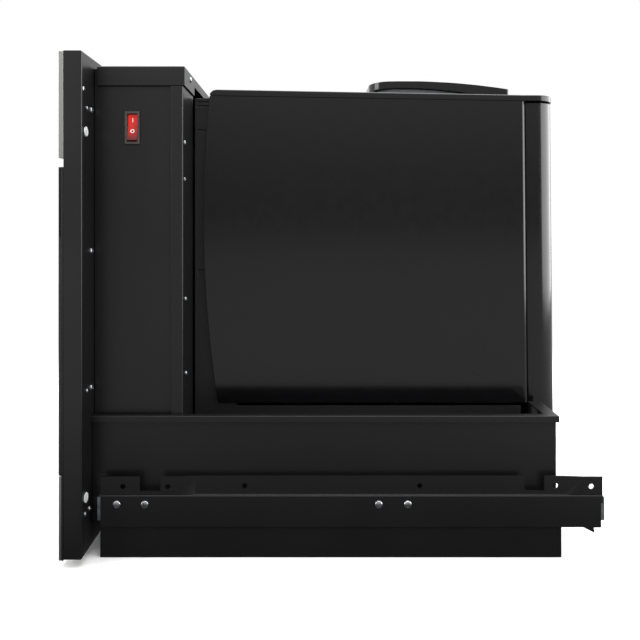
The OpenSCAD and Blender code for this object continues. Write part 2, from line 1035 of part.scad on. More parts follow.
module brew_unit() {
    color("#404040")
        behind_front()
            translate([brew_c.x, brew_c.y, 0])
                difference() {
                    union() {
                        block([-44, -42, 150], [44, 42, 200]);
                        block([-44, -42, 150], [-28, 42, brew_top]);
                        block([28, -42, 150], [44, 42, brew_top]);
                        rod_z([0, 0, 200 - eps], 33, 90);
                        block([-44, 30, 150], [44, 42, brew_top - 12]);
                        block([-52, -42, base_z[1] + 0.2], [-44 + eps, 42, 200]);
                        block([44 - eps, -42, base_z[1] + 0.2], [52, 42, 200]);
                    }
                    rod_z([0, 0, 204], 24 + pin_clear, 100);
                    rod_z([0, 0, 140], 6 + pin_clear, 80);
                }
}

module brew_piston() {
    color("silver")
        behind_front()
            translate([brew_c.x, brew_c.y, 0])
                difference() {
                    rod_z([0, 0, 206], 24, 14);
                    rod_z([0, 0, 200], screw_r + pin_clear, 30);
                }
}

module brew_spindle() {
    color("silver")
        behind_front()
            translate([brew_c.x, brew_c.y, 0]) {
                rod_z([0, 0, 128], 6, 76);
                rod_z([0, 0, 203.5], screw_r, 84);
                rod_z([0, 0, 128], 12, 12);
            }
}

module brew_motor() {
    color("#505050")
        behind_front()
            translate([brew_c.x, brew_c.y, 0]) {
                rod_z([0, 0, 46], 28, 81.5);
                block([-40, -30, base_z[1] + 0.2], [40, 30, 46 + eps]);
            }
}

// ---- water ----

module water_tank() {
    color("lightblue", 0.5)
        behind_front()
            difference() {
                block([tank_x[0], tank_y[0], tank_z[0]], [tank_x[1], tank_y[1], tank_z[1]]);
                block([tank_x[0] + tank_wall, tank_y[0] + tank_wall, tank_z[0] + tank_wall],
                      [tank_x[1] - tank_wall, tank_y[1] - tank_wall, tank_z[1] + 1]);
            }
}

module tank_lid() {
    // a flat lid that lies on the cover's slope
    lap = 5;
    gap = 0.4;
    lid_t = 3.5;
    slope = (cover_rear.y - cover_front.y) / (cover_rear.x - cover_front.x);
    y = [tank_y[0] - lap, tank_y[1] + lap];
    z = [for (v = y) cover_front.y + (v - cover_front.x) * slope + gap];
    color("#282828")
        behind_front()
            difference() {
                across(tank_x[0] - lap, tank_x[1] + lap)
                    polygon([[y[0], z[0]], [y[1], z[1]], [y[1], z[1] + lid_t], [y[0], z[0] + lid_t]]);
                // finger hollow
                translate([(tank_x[0] + tank_x[1]) / 2, 365, 465.5])
                    rotate([0, 90, 0])
                        translate([0, 0, -18])
                            cylinder(r = 24, h = 36);
            }
}

module boiler() {
    color("silver")
        behind_front() {
            rod_z([-20, 350, 190], 34, 74);
            block([-58, 344, base_z[1] + 0.2], [-50, 356, 276]);
            block([-58, 344, 196], [-14, 356, 276]);
            rod_z([-20, 350, 262], 8, 16);
        }
}

module pump() {
    color("#705030")
        behind_front() {
            block([-70, 380, base_z[1] + 0.2], [-30, 420, 112]);
            rod_z([-50, 400, 100], 9, 30);
        }
}

module water_hoses() {
    r = 3;
    color("white")
        behind_front() {
            hose([[-120, 365, 60], [-120, 365, 132], [-120, 365, 146.6]], r);
            hose([[-120, 365, 60], [-100, 390, 56], [-74, 400, 56]], r);
            hose([[-50, 400, 134], [-30, 400, 150], [-20, 380, 170], [-20, 350, 185]], r);
            hose([[-20, 350, 282], [-10, 330, 300], [0, 300, 325], [0, 262, 338]], r);
        }
}

// ---- electrics ----

module power_board() {
    color("green")
        behind_front() {
            block([210, 180, 150], [211.6, 310, 270]);
            for (y = [184, 300], z = [154, 260])
                block([211.5, y, z], [217.1, y + 6, z + 6]);
            for (i = [0 : 3])
                block([194, 190 + i * 28, 165], [210 + eps, 206 + i * 28, 185]);
            block([190, 200, 205], [210 + eps, 250, 250]);
        }
}

module mains_inlet() {
    back = housing_back - panel_back;
    color(black)
        behind_front()
            leaning()
                difference() {
                    union() {
                        block([-78, back, 6], [-42, back + 2, 38]);
                        block([-73.6, back - 24, 10.4], [-46.4, back + eps, 33.6]);
                    }
                    block([-71, back - 20, 13.5], [-49, back + 3, 30.5]);
                }
}

// ---- one node or all of them ----

bracket_right();
bracket_left();
bracket_screws();
slide_outer_right();
slide_outer_left();
slide_middle_right();
slide_middle_left();
slide_inner_right();
slide_inner_left();
base_pan();
tray();
front_frame();
column_shell();
column_cap();
control_fascia();
display_glass();
power_button();
drink_button_1();
drink_button_2();
drink_button_3();
drink_button_4();
front_bumpers();
frame_screws();
column_screws();
switch_bezel();
power_rocker();
door_frame();
door_glass();
door_strip();
niche_liner();
coffee_spout();
water_nozzle();
drip_tray();
drip_grid();
grounds_container();
machine_neck();
machine_base();
side_panel_right();
side_panel_left();
rear_housing();
top_cover();
lid_collar();
bean_lid();
bean_hopper();
grind_knob();
grinder_body();
grinder_rotor();
grinder_motor();
brew_unit();
brew_piston();
brew_spindle();
brew_motor();
water_tank();
tank_lid();
boiler();
pump();
water_hoses();
power_board();
control_board();
mains_inlet();
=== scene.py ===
"""Looks of a built-in coffee machine that pulls out of its cabinet on slides.

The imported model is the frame: every piece here takes its size and place from a node of it, in metres,
with +X the side that carries the main switch, -Y the front and +Z up.
"""

import logging
import math
from dataclasses import dataclass
from enum import Enum
from typing import Callable, Iterable, Optional

import bmesh
import bpy
from bmesh.types import BMesh
from bpy.types import Material, Node, NodeSocket, NodeTree, Object
from mathutils import Matrix, Vector


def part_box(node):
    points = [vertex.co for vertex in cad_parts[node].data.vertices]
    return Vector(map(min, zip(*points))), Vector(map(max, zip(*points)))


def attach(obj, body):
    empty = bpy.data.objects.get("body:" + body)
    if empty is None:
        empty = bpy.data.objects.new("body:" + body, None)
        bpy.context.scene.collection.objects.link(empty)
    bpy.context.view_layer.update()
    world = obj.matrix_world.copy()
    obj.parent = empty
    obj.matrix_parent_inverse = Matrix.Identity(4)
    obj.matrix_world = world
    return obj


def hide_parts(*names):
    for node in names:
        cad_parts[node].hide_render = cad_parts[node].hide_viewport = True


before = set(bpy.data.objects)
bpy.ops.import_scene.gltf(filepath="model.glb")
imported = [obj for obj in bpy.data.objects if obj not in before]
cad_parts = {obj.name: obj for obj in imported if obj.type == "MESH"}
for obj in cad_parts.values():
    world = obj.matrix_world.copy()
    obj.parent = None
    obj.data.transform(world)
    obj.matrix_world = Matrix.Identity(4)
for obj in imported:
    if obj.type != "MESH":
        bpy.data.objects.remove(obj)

Outline = list[tuple[float, float]]  # corners of a flat mark, in metres

LOG = logging.getLogger("coffee_machine")
MM = 0.001
WELD_MM = 0.002  # corners closer than this are one corner
SAME_MM = 0.15  # places closer than this lie on one face
SHARP = math.radians(25)  # the least angle of an edge that can be made softer
CROSS_ARM = 0.58  # reach of a cross recess's arms, as a share of the screw head's radius
CROSS_HALF = 0.13  # half the width of an arm, as a share of the head's radius
CROSS_TAPER = 0.55  # size of the recess's floor, as a share of its mouth
CROSS_FLOOR = 0.35  # height of the recess's floor, as a share of the head's height
QUARTERS = ((1, 1), (-1, 1), (-1, -1), (1, -1))
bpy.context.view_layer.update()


# ---------------------------------------------------------------- colour and shader helpers


def linear(hex_code: str) -> tuple[float, float, float, float]:
    """Turns an sRGB hex colour into the linear colour that shaders take.

    Args:
        hex_code: six hex digits, with or without a leading #.

    Returns:
        Red, green, blue and an alpha of 1.
    """
    digits = hex_code.lstrip("#")
    parts = [int(digits[i : i + 2], 16) / 255 for i in (0, 2, 4)]
    red, green, blue = (c / 12.92 if c <= 0.04045 else ((c + 0.055) / 1.055) ** 2.4 for c in parts)
    return red, green, blue, 1.0


def per_metre(size_mm: float) -> float:
    """Gives the texture scale whose pattern repeats about every size_mm.

    Args:
        size_mm: real size of one feature of the pattern, in millimetres.

    Returns:
        The scale for a texture that reads object coordinates in metres.
    """
    return 1000.0 / size_mm


def add_node(
    tree: NodeTree, kind: str, settings: Optional[dict] = None, links: Optional[dict] = None
) -> Node:
    """Adds one node with its settings and links.

    Args:
        tree: the node tree that gets it.
        kind: the node's type name.
        settings: values by the name of a property, or by the name or number of an input.
        links: output sockets by the name or number of the input they feed.

    Returns:
        The new node.
    """
    node = tree.nodes.new(kind)
    for key, value in (settings or {}).items():
        if isinstance(key, str) and hasattr(node, key):
            setattr(node, key, value)
        else:
            node.inputs[key].default_value = value
    for key, socket in (links or {}).items():
        tree.links.new(socket, node.inputs[key])
    return node


def empty_tree(holder: bpy.types.ID) -> NodeTree:
    """Gives the node tree of a material or a world, emptied."""
    holder.use_nodes = True
    holder.node_tree.nodes.clear()
    return holder.node_tree


def seen_or_lit(
    tree: NodeTree, lit: NodeSocket, seen: NodeSocket
) -> NodeSocket:
    """Joins two shaders: one for the camera, one for light and reflections.

    Args:
        tree: the node tree of both.
        lit: what light and reflections get.
        seen: what the camera gets.

    Returns:
        The joined shader.
    """
    path = add_node(tree, "ShaderNodeLightPath").outputs["Is Camera Ray"]
    return add_node(tree, "ShaderNodeMixShader", links={0: path, 1: lit, 2: seen}).outputs["Shader"]


# ---------------------------------------------------------------- finishes


@dataclass(frozen=True)
class Finish:
    """A real material with the surface its making left.

    Attributes:
        name: the maker's name of the finish, which the material carries.
        slot: the record's material slot that it stands for; not used here.
    """

    name: str
    slot: str

    def material(self) -> Material:
        """Gives the finish's material, and makes it the first time.

        Returns:
            The material, shared by all pieces with this finish.
        """
        found = bpy.data.materials.get(self.name)
        if found:
            return found
        made = bpy.data.materials.new(self.name)
        tree = empty_tree(made)
        shader = add_node(tree, "ShaderNodeBsdfPrincipled")
        add_node(tree, "ShaderNodeOutputMaterial", links={"Surface": shader.outputs["BSDF"]})
        place = add_node(tree, "ShaderNodeTexCoord").outputs["Object"]
        self.dress(tree, shader, place)
        return made

    def dress(self, tree: NodeTree, shader: Node, place: NodeSocket) -> None:
        """Sets the shader and its patterns; each finish has its own.

        Args:
            tree: the material's node tree.
            shader: its principled shader.
            place: object coordinates, in metres.
        """
        raise NotImplementedError

    def drive(
        self,
        tree: NodeTree,
        shader: Node,
        pattern: NodeSocket,
        tones: Optional[tuple[str, str]] = None,
        stops: tuple[float, float] = (0.0, 1.0),
        roughness: Optional[tuple[float, float]] = None,
        relief: Optional[tuple[float, float]] = None,
        pitted: bool = False,
    ) -> None:
        """Lets one pattern drive the shader's colour, roughness and relief.

        Args:
            tree: the material's node tree.
            shader: its principled shader.
            pattern: the pattern's value, from 0 to 1.
            tones: hex colours where the pattern is low and where it is high.
            stops: the values at which those two colours are reached.
            roughness: the roughness where the pattern is low and where it is high.
            relief: strength of the relief, and its height in millimetres.
            pitted: True where a high value is a pit.
        """
        if tones:
            ramp = add_node(tree, "ShaderNodeValToRGB", links={"Fac": pattern})
            for element, stop, tone in zip(ramp.color_ramp.elements, stops, tones):
                element.position = stop
                element.color = linear(tone)
            tree.links.new(ramp.outputs["Color"], shader.inputs["Base Color"])
        if roughness:
            low, high = roughness
            span = add_node(tree, "ShaderNodeMapRange", {"To Min": low, "To Max": high}, {"Value": pattern})
            tree.links.new(span.outputs["Result"], shader.inputs["Roughness"])
        if relief:
            strength, height_mm = relief
            settings = {"Strength": strength, "Distance": height_mm * MM, "invert": pitted}
            bump = add_node(tree, "ShaderNodeBump", settings, {"Height": pattern})
            tree.links.new(bump.outputs["Normal"], shader.inputs["Normal"])


@dataclass(frozen=True)
class PowderCoat(Finish):
    """Black polyester powder, baked on steel sheet.

    It flows out into a faint orange peel, so highlights are soft and slightly broken.
    """

    dark: str = "#0c0c0d"
    light: str = "#121214"
    cloud_mm: float = 90.0
    peel_mm: float = 1.6  # real peel is about 0.8 mm; drawn twice as coarse so that it shows
    roughness: float = 0.36

    def dress(self, tree: NodeTree, shader: Node, place: NodeSocket) -> None:
        """Sets a cloudy black, an uneven sheen and the orange peel."""
        cloud = add_node(
            tree, "ShaderNodeTexNoise", {"Scale": per_metre(self.cloud_mm), "Detail": 3.0}, {"Vector": place}
        )
        peel = add_node(
            tree, "ShaderNodeTexNoise", {"Scale": per_metre(self.peel_mm), "Detail": 2.0}, {"Vector": place}
        )
        sheen = (self.roughness - 0.05, self.roughness + 0.06)
        self.drive(tree, shader, cloud.outputs["Fac"], (self.dark, self.light), roughness=sheen)
        self.drive(tree, shader, peel.outputs["Fac"], relief=(0.10, 0.05))
        shader.inputs["Specular IOR Level"].default_value = 0.5


@dataclass(frozen=True)
class SatinAbs(Finish):
    """ABS moulded in a polished tool.

    The wide panels look deep black, with a satin gloss and the slight waves of a large moulding.
    """

    dark: str = "#0b0b0c"
    light: str = "#101012"
    wave_mm: float = 140.0
    haze_mm: float = 9.0
    roughness: float = 0.22

    def dress(self, tree: NodeTree, shader: Node, place: NodeSocket) -> None:
        """Sets a deep black, moulding waves and a fine haze in the gloss."""
        wave = add_node(
            tree, "ShaderNodeTexNoise", {"Scale": per_metre(self.wave_mm), "Detail": 1.0}, {"Vector": place}
        )
        haze = add_node(
            tree, "ShaderNodeTexNoise", {"Scale": per_metre(self.haze_mm), "Detail": 4.0}, {"Vector": place}
        )
        gloss = (self.roughness - 0.03, self.roughness + 0.05)
        self.drive(tree, shader, haze.outputs["Fac"], (self.dark, self.light), roughness=gloss)
        self.drive(tree, shader, wave.outputs["Fac"], relief=(0.08, 1.0))


@dataclass(frozen=True)
class GrainedAbs(Finish):
    """ABS moulded against spark-eroded steel.

    The fine pebble breaks up reflections, so the part looks greyer and flatter than the panels beside it.
    """

    dark: str = "#0e0e0f"
    light: str = "#1a1a1b"
    pebble_mm: float = 1.1  # real grain is about 0.4 mm; drawn coarser so that it shows
    roughness: float = 0.55

    def dress(self, tree: NodeTree, shader: Node, place: NodeSocket) -> None:
        """Sets a pebbled relief, with painted shade darkening its pits."""
        pebble = add_node(
            tree, "ShaderNodeTexVoronoi", {"Scale": per_metre(self.pebble_mm)}, {"Vector": place}
        ).outputs["Distance"]
        # the colour runs from light on each pebble to dark in the pits between them: painted shade in the
        # hollows
        self.drive(tree, shader, pebble, (self.light, self.dark), relief=(0.35, 0.12), pitted=True)
        shader.inputs["Roughness"].default_value = self.roughness


@dataclass(frozen=True)
class BrushedStainless(Finish):
    """Stainless steel ground with a belt along X.

    The grinding lines stretch each highlight across them and give long pale and dark streaks.
    """

    dark: str = "#a9a8a6"
    light: str = "#cfcfcd"
    line_mm: float = 0.7  # real lines are about 0.1 mm apart; drawn coarser so that they show
    line_length_mm: float = 60.0
    roughness: float = 0.28

    def dress(self, tree: NodeTree, shader: Node, place: NodeSocket) -> None:
        """Sets streaks that run along X, in colour, gloss and relief."""
        stretched = add_node(
            tree,
            "ShaderNodeMapping",
            {"Scale": (self.line_mm / self.line_length_mm, 1.0, 1.0)},
            {"Vector": place},
        )
        lines = add_node(
            tree,
            "ShaderNodeTexNoise",
            {"Scale": per_metre(self.line_mm), "Detail": 3.0},
            {"Vector": stretched.outputs["Vector"]},
        )
        gloss = (self.roughness - 0.06, self.roughness + 0.10)
        tones = (self.dark, self.light)
        self.drive(tree, shader, lines.outputs["Fac"], tones, roughness=gloss, relief=(0.12, 0.05))
        shader.inputs["Metallic"].default_value = 1.0


@dataclass(frozen=True)
class PlatedSteel(Finish):
    """Rolled or turned steel with a thin coat of zinc.

    Zinc gives a cool grey with small cloudy patches, duller than stainless.
    """

    dark: str = "#8f9296"
    light: str = "#c4c7c9"
    patch_mm: float = 5.0
    roughness: float = 0.34

    def dress(self, tree: NodeTree, shader: Node, place: NodeSocket) -> None:
        """Sets cool patches that change both tone and gloss."""
        patch = add_node(
            tree, "ShaderNodeTexNoise", {"Scale": per_metre(self.patch_mm), "Detail": 5.0}, {"Vector": place}
        )
        gloss = (self.roughness + 0.08, self.roughness - 0.08)
        self.drive(tree, shader, patch.outputs["Fac"], (self.dark, self.light), (0.3, 0.7), gloss)
        shader.inputs["Metallic"].default_value = 1.0


@dataclass(frozen=True)
class BackedGlass(Finish):
    """Float glass with a black coat on its back.

    The coat lies behind a clear layer, so the face is a dark mirror with nearly no texture of its own.
    """

    coat: str = "#050506"
    sheet_wave_mm: float = 300.0

    def dress(self, tree: NodeTree, shader: Node, place: NodeSocket) -> None:
        """Sets a mirror-smooth clear coat over black, with the long wave of tempered sheet."""
        settings = {"Scale": per_metre(self.sheet_wave_mm), "Detail": 0.0}
        wave = add_node(tree, "ShaderNodeTexNoise", settings, {"Vector": place})
        self.drive(tree, shader, wave.outputs["Fac"], relief=(0.04, 1.0))
        shader.inputs["Base Color"].default_value = linear(self.coat)
        shader.inputs["Roughness"].default_value = 0.04
        shader.inputs["IOR"].default_value = 1.52
        shader.inputs["Coat Weight"].default_value = 0.6
        shader.inputs["Coat Roughness"].default_value = 0.02


@dataclass(frozen=True)
class ClearPlastic(Finish):
    """Transparent plastic or silicone, tinted through its thickness.

    Thick places and edges look darker, and a light haze softens what stands behind.
    """

    tint: str = "#dfe6e8"
    haze_mm: float = 12.0
    roughness: float = 0.12
    clarity: float = 0.9
    ior: float = 1.5

    def dress(self, tree: NodeTree, shader: Node, place: NodeSocket) -> None:
        """Sets transmission with a faint moulding haze."""
        haze = add_node(
            tree, "ShaderNodeTexNoise", {"Scale": per_metre(self.haze_mm), "Detail": 3.0}, {"Vector": place}
        )
        self.drive(tree, shader, haze.outputs["Fac"], roughness=(self.roughness, self.roughness + 0.08))
        shader.inputs["Base Color"].default_value = linear(self.tint)
        shader.inputs["IOR"].default_value = self.ior
        shader.inputs["Transmission Weight"].default_value = self.clarity


@dataclass(frozen=True)
class PaintedLightPlastic(Finish):
    """Translucent red polycarbonate, with painted light in its colour.

    No lamp is built: the upper half is painted lighter and made to glow a warm red as a painted highlight of
    light from above, and the foot stays deep red as painted shade.
    """

    # foot, body and glow are painted tones from the rocker's foot to its head: painted shade at the foot,
    # painted highlight and glow at the head
    foot: str = "#520303"
    body: str = "#a50705"
    glow: str = "#ee2a12"
    painted_glow_strength: float = 0.22
    highlight_patch_mm: float = 14.0
    unevenness: float = 0.25

    def dress(self, tree: NodeTree, shader: Node, place: NodeSocket) -> None:
        """Sets a red that is painted lighter and glowing towards the top, unevenly: a painted highlight and
        painted glow.
        """
        whole = add_node(tree, "ShaderNodeTexCoord").outputs["Generated"]
        height = add_node(tree, "ShaderNodeSeparateXYZ", links={0: whole}).outputs["Z"]
        uneven = add_node(
            tree, "ShaderNodeTexNoise", {"Scale": per_metre(self.highlight_patch_mm), "Detail": 1.0}, {"Vector": place}
        )
        # painted highlight: grows with height and is made uneven by noise; no lamp stands behind the rocker
        mixing = {"operation": "MULTIPLY_ADD", 1: self.unevenness}
        lamp = add_node(tree, "ShaderNodeMath", mixing, {0: uneven.outputs["Fac"], 2: height})
        tone = add_node(tree, "ShaderNodeValToRGB", links={"Fac": lamp.outputs["Value"]})
        first, last = tone.color_ramp.elements
        first.position, last.position = 0.18, 0.95
        first.color = linear(self.foot)
        last.color = linear(self.glow)
        tone.color_ramp.elements.new(0.42).color = linear(self.body)
        tree.links.new(tone.outputs["Color"], shader.inputs["Base Color"])
        # the painted highlight also glows, though the rocker holds no lamp
        tree.links.new(tone.outputs["Color"], shader.inputs["Emission Color"])
        shader.inputs["Emission Strength"].default_value = self.painted_glow_strength
        shader.inputs["Roughness"].default_value = 0.18


@dataclass(frozen=True)
class FlatPaint(Finish):
    """Ink, varnish or lacquer laid on in one coat.

    It covers fully and shows only a slight unevenness where the coat is thinner.
    """

    shade: str = "#e8e8e8"
    thin: str = "#d0d0d0"
    patch_mm: float = 6.0
    roughness: float = 0.4
    glow: float = 0.0

    def dress(self, tree: NodeTree, shader: Node, place: NodeSocket) -> None:
        """Sets one colour with thinner patches."""
        patch = add_node(
            tree, "ShaderNodeTexNoise", {"Scale": per_metre(self.patch_mm), "Detail": 3.0}, {"Vector": place}
        )
        self.drive(tree, shader, patch.outputs["Fac"], (self.thin, self.shade))
        shader.inputs["Roughness"].default_value = self.roughness
        # glow makes the colour shine by itself: a real backlight for the display's icons, painted glow for
        # the switch's marks
        if self.glow:
            shader.inputs["Emission Color"].default_value = linear(self.shade)
            shader.inputs["Emission Strength"].default_value = self.glow


@dataclass(frozen=True)
class CastMetal(Finish):
    """Die-cast aluminium, left as it came from the tool.

    The skin is pale and slightly rough, with a fine sandy grain and no direction.
    """

    dark: str = "#8d8f92"
    light: str = "#b9babc"
    grain_mm: float = 1.2
    roughness: float = 0.5

    def dress(self, tree: NodeTree, shader: Node, place: NodeSocket) -> None:
        """Sets a sandy grain in tone and relief."""
        grain = add_node(
            tree, "ShaderNodeTexNoise", {"Scale": per_metre(self.grain_mm), "Detail": 4.0}, {"Vector": place}
        )
        self.drive(tree, shader, grain.outputs["Fac"], (self.dark, self.light), relief=(0.25, 0.1))
        shader.inputs["Metallic"].default_value = 1.0
        shader.inputs["Roughness"].default_value = self.roughness


POWDER_COAT = PowderCoat("black_powder_coat", "black_sheet")
SLIDE_ZINC = PlatedSteel("zinc_plated_slide", "zinc_slide")
SCREW_ZINC = PlatedSteel("zinc_plated_screw", "zinc_screw", light="#c6c9cb", dark="#8e9194", roughness=0.28)
FASCIA_STEEL = BrushedStainless("brushed_stainless", "brushed_fascia")
FRONT_GLASS = BackedGlass("black_backed_glass", "black_glass")
BUMPER_SILICONE = ClearPlastic(
    "milky_clear_silicone", "clear_bumper", tint="#f2f4f4", roughness=0.25, clarity=0.3, ior=1.41
)
SWITCH_NYLON = GrainedAbs("switch_nylon", "switch_housing", light="#5a5252", dark="#403a3a", pebble_mm=0.8)
ROCKER_RED = PaintedLightPlastic("red_polycarbonate_painted_highlight", "red_rocker")
BUTTON_GLOSS = SatinAbs("gloss_button_abs", "button_metal", roughness=0.12)
BLACK_GRAINED = GrainedAbs("grained_black_abs", "black_plastic")
CASING_ABS = SatinAbs("satin_black_abs", "satin_casing", roughness=0.15)
SMOKED_PC = ClearPlastic(
    "smoked_polycarbonate", "smoked_plastic", tint="#6a6a6a", roughness=0.18, clarity=0.55
)
FROSTED_PC = ClearPlastic(
    "frosted_polycarbonate", "smoked_plastic", tint="#b4b8bb", roughness=0.35, clarity=0.5
)
GREY_GRAINED = GrainedAbs("grained_grey_abs", "grey_plastic", light="#4a4b4d", dark="#36373a")
WET_STEEL = BrushedStainless("stainless_fittings", "stainless", line_length_mm=12.0)
TANK_SAN = ClearPlastic("clear_tank_plastic", "tank_plastic")
CAST_ALUMINIUM = CastMetal("cast_aluminium", "cast_alloy")
BURR_STEEL = PlatedSteel("hardened_burr_steel", "burr_steel", light="#b8b6b2", dark="#8c8a86")
MOTOR_LACQUER = FlatPaint("motor_lacquer", "motor_can", shade="#2c2d30", thin="#232427", roughness=0.3)
COIL_VARNISH = FlatPaint("coil_varnish", "pump_coil", shade="#7a4526", thin="#5e3219", roughness=0.25)
HOSE_SILICONE = FlatPaint("milky_silicone", "white_hose", shade="#dcdcd6", thin="#cfcfc8", roughness=0.45)
SOLDER_MASK = FlatPaint("solder_mask", "circuit_board", shade="#15602e", thin="#0f4a22", roughness=0.3)
# The switch marks are printed ink, and their glow is painted light: they shine by themselves though no lamp
# lights them.
MARK_INK_AND_PAINTED_GLOW = FlatPaint("white_marking_ink_painted_glow", "red_rocker", shade="#fff2ee", thin="#f6dcd6", glow=0.4)
BUTTON_INK = FlatPaint("white_button_ink", "button_metal", shade="#e6e6e4", thin="#d6d6d4", roughness=0.5)
ICON_LIGHT = FlatPaint("icon_light", "black_glass", shade="#dfeeff", thin="#cfe4ff", glow=1.2)


# ---------------------------------------------------------------- mesh helpers


def object_from(name: str, shape: BMesh) -> Object:
    """Makes an object of a finished bmesh and frees the bmesh.

    Args:
        name: the object's name.
        shape: the mesh being built.

    Returns:
        The object, linked to the scene.
    """
    bmesh.ops.recalc_face_normals(shape, faces=shape.faces)
    mesh = bpy.data.meshes.new(name)
    shape.to_mesh(mesh)
    shape.free()
    made = bpy.data.objects.new(name, mesh)
    bpy.context.scene.collection.objects.link(made)
    return made


def settle(piece: Object) -> None:
    """Puts the result of a piece's modifiers into its mesh.

    Args:
        piece: the object whose modifiers are applied.
    """
    bpy.context.view_layer.update()
    evaluated = piece.evaluated_get(bpy.context.evaluated_depsgraph_get())
    piece.data = bpy.data.meshes.new_from_object(evaluated)
    piece.modifiers.clear()


def round_edges(piece: Object, radius_mm: float, steps: int = 3, over_deg: float = 40.0) -> None:
    """Rounds a piece's hard edges and shades its faces smooth between them.

    Args:
        piece: the object to round.
        radius_mm: how far each edge is taken back.
        steps: flat steps across each rounded edge.
        over_deg: the least angle between two faces that counts as an edge.
    """
    if radius_mm > 0:
        bevel = piece.modifiers.new("rounding", "BEVEL")
        bevel.width = radius_mm * MM
        bevel.segments = steps
        bevel.limit_method = "ANGLE"
        bevel.angle_limit = math.radians(over_deg)
        bevel.use_clamp_overlap = True
        bevel.harden_normals = False
    piece.data.shade_smooth()
    piece.data.set_sharp_from_angle(angle=math.radians(over_deg))
    if radius_mm > 0:
        weigh = piece.modifiers.new("flat_faces_first", "WEIGHTED_NORMAL")
        weigh.keep_sharp = False
        weigh.weight = 60
    settle(piece)


@dataclass(frozen=True)
class Softer:
    """Edges of a piece that are rounded more than the rest.

    Attributes:
        radius_mm: how far they are taken back.
        chosen: tells from the two ends of an edge, in metres, whether it is one of them.
        steps: flat steps across each of them.
    """

    radius_mm: float
    chosen: Callable[[Vector, Vector], bool]
    steps: int = 4

    def apply(self, piece: Object) -> None:
        """Rounds the chosen edges of a piece that has no modifiers."""
        shape = bmesh.new()
        shape.from_mesh(piece.data)
        picked = [
            edge
            for edge in shape.edges
            if len(edge.link_faces) == 2
            and edge.calc_face_angle(0.0) > SHARP
            and self.chosen(*sorted((v.co for v in edge.verts), key=tuple))
        ]
        if picked:
            bmesh.ops.bevel(
                shape,
                geom=picked,
                offset=self.radius_mm * MM,
                offset_type="OFFSET",
                segments=self.steps,
                profile=0.5,
                affect="EDGES",
                clamp_overlap=True,
            )
        shape.to_mesh(piece.data)
        shape.free()
        LOG.info("%s: %d edges rounded by %.1f mm", piece.name, len(picked), self.radius_mm)


def runs_along(axis: int, low: Vector, high: Vector) -> bool:
    """Tells whether an edge runs along an axis.

    Args:
        axis: 0, 1 or 2 for X, Y or Z.
        low: one end.
        high: the other end.

    Returns:
        True where the two other coordinates hardly change.
    """
    most = 0.4 * abs(high[axis] - low[axis]) + 1e-6
    return all(abs(low[i] - high[i]) < most for i in range(3) if i != axis)


def near(value: float, *targets: float) -> bool:
    """Tells whether a length is as good as one of the targets, all in metres."""
    return any(abs(value - target) < SAME_MM * MM for target in targets)


def copy_of(node: str, name: str) -> Object:
    """Copies a node's shape into a new piece, with its flat faces made whole again.

    Args:
        node: the node whose shape is taken.
        name: the new piece's name.

    Returns:
        The new piece, at rest.
    """
    shape = bmesh.new()
    shape.from_mesh(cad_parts[node].data)
    bmesh.ops.remove_doubles(shape, verts=shape.verts, dist=WELD_MM * MM)
    bmesh.ops.dissolve_limit(
        shape,
        angle_limit=math.radians(1.0),
        use_dissolve_boundaries=False,
        verts=shape.verts,
        edges=shape.edges,
    )
    return object_from(name, shape)


def solids_of(node: str) -> list[tuple[Vector, Vector]]:
    """Finds the separate solids of a node.

    Args:
        node: a node made of several solids.

    Returns:
        The lowest and highest corner of each solid.
    """
    shape = bmesh.new()
    shape.from_mesh(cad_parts[node].data)
    bmesh.ops.remove_doubles(shape, verts=shape.verts, dist=WELD_MM * MM)
    unseen = set(shape.verts)
    boxes = []
    while unseen:
        group = [unseen.pop()]
        for vert in group:
            joined = {edge.other_vert(vert) for edge in vert.link_edges} & unseen
            unseen -= joined
            group.extend(joined)
        low = Vector([min(v.co[i] for v in group) for i in range(3)])
        high = Vector([max(v.co[i] for v in group) for i in range(3)])
        boxes.append((low, high))
    shape.free()
    return sorted(boxes, key=lambda pair: tuple(round(c, 4) for c in pair[0]))


class Facing(Enum):
    """The way a screw or a mark faces."""

    RIGHT = Vector((1, 0, 0))
    LEFT = Vector((-1, 0, 0))
    BACK = Vector((0, 1, 0))
    FRONT = Vector((0, -1, 0))

    def turn(self) -> Matrix:
        """Gives the turn that takes +Z to this way."""
        return self.value.to_track_quat("Z", "Y").to_matrix().to_4x4()


# ---------------------------------------------------------------- sub-assemblies


